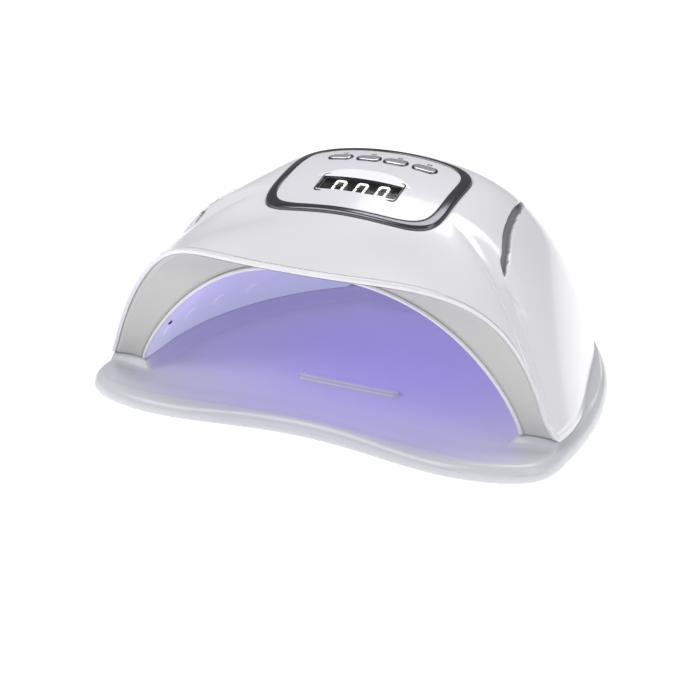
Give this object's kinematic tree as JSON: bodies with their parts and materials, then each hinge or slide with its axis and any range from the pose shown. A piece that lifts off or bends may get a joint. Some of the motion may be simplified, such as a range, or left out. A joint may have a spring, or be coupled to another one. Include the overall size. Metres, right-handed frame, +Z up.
{
  "type": "led nail lamp",
  "caption": "Domed lamp for curing nail gel: an arched mouth lined with violet lights over a lift-off base plate, with a small display and timer buttons on top.",
  "frame": {"origin": "on the ground under the middle of the base plate", "axes": "+X right as seen from outside the mouth, the mouth faces -Y, +Z up"},
  "size_m": [0.229, 0.2061, 0.1066],
  "materials": {
    "base_frost": "milky white plastic with a soft sheen",
    "foot_rubber": "matt rubber",
    "magnet_nickel": "nickel plated",
    "shell_pearl": "pearl white, high gloss",
    "vent_dark": "dark matt plastic",
    "flange_grey": "light grey, satin",
    "reflector_white": "white reflector, lit violet from inside",
    "frame_grey": "light grey, satin",
    "screw_steel": "zinc plated",
    "trim_chrome": "dark chrome plated plastic",
    "panel_pearl": "pearl silver, high gloss",
    "window_smoke": "smoked clear plastic",
    "digits_lit": "lit white segments",
    "display_black": "black epoxy face",
    "board_green": "green circuit board",
    "switch_black": "black moulded body",
    "strip_white": "white flexible circuit",
    "led_amber": "yellow phosphor face",
    "lens_clear": "clear lens over a violet light",
    "sensor_black": "black infrared window",
    "jack_black": "black moulded socket",
    "pin_brass": "bright brass",
    "nut_steel": "nickel plated steel",
    "lead_red": "red insulation",
    "lead_black": "black insulation",
    "lead_white": "white insulation",
    "button_chrome": "bright chrome plated plastic",
    "plunger_ivory": "ivory plastic"
  },
  "bodies": {
    "base": {"base_plate": "base_frost", "rubber_feet": "foot_rubber", "base_magnets": "magnet_nickel"},
    "housing": {"upper_shell": "shell_pearl", "vent_insert_right": "vent_dark", "vent_insert_left": "vent_dark", "mouth_flange": "flange_grey", "reflector_liner": "reflector_white", "bottom_frame": "frame_grey", "frame_screws": "screw_steel", "housing_magnets": "magnet_nickel", "chrome_trim": "trim_chrome", "control_panel": "panel_pearl", "display_window": "window_smoke", "digit_segments": "digits_lit", "display_module": "display_black", "control_board": "board_green", "board_screws": "screw_steel", "tact_switches": "switch_black", "led_strips": "strip_white", "led_packages": "led_amber", "led_lenses": "lens_clear", "sensor_emitter": "sensor_black", "sensor_receiver": "sensor_black", "power_jack": "jack_black", "jack_pin": "pin_brass", "jack_nut": "nut_steel", "supply_lead_positive": "lead_red", "supply_lead_negative": "lead_black", "light_lead_right": "lead_white", "light_lead_left": "lead_white"},
    "button_1": {"timer_button_1": "button_chrome", "switch_plunger_1": "plunger_ivory"},
    "button_2": {"timer_button_2": "button_chrome", "switch_plunger_2": "plunger_ivory"},
    "button_3": {"timer_button_3": "button_chrome", "switch_plunger_3": "plunger_ivory"},
    "button_4": {"timer_button_4": "button_chrome", "switch_plunger_4": "plunger_ivory"}
  },
  "joints": [
    {"name": "housing_lift", "type": "slide", "parent": "base", "child": "housing", "axis": [0, 0, 1], "range_m": [0, 0.12]},
    {"name": "button_1_press", "type": "slide", "parent": "housing", "child": "button_1", "axis": [0, 0.1144, -0.9934], "range_m": [0, 0.0005], "stiffness_N_per_m": 800},
    {"name": "button_2_press", "type": "slide", "parent": "housing", "child": "button_2", "axis": [0, 0.1144, -0.9934], "range_m": [0, 0.0005], "stiffness_N_per_m": 800},
    {"name": "button_3_press", "type": "slide", "parent": "housing", "child": "button_3", "axis": [0, 0.1144, -0.9934], "range_m": [0, 0.0005], "stiffness_N_per_m": 800},
    {"name": "button_4_press", "type": "slide", "parent": "housing", "child": "button_4", "axis": [0, 0.1144, -0.9934], "range_m": [0, 0.0005], "stiffness_N_per_m": 800}
  ]
}
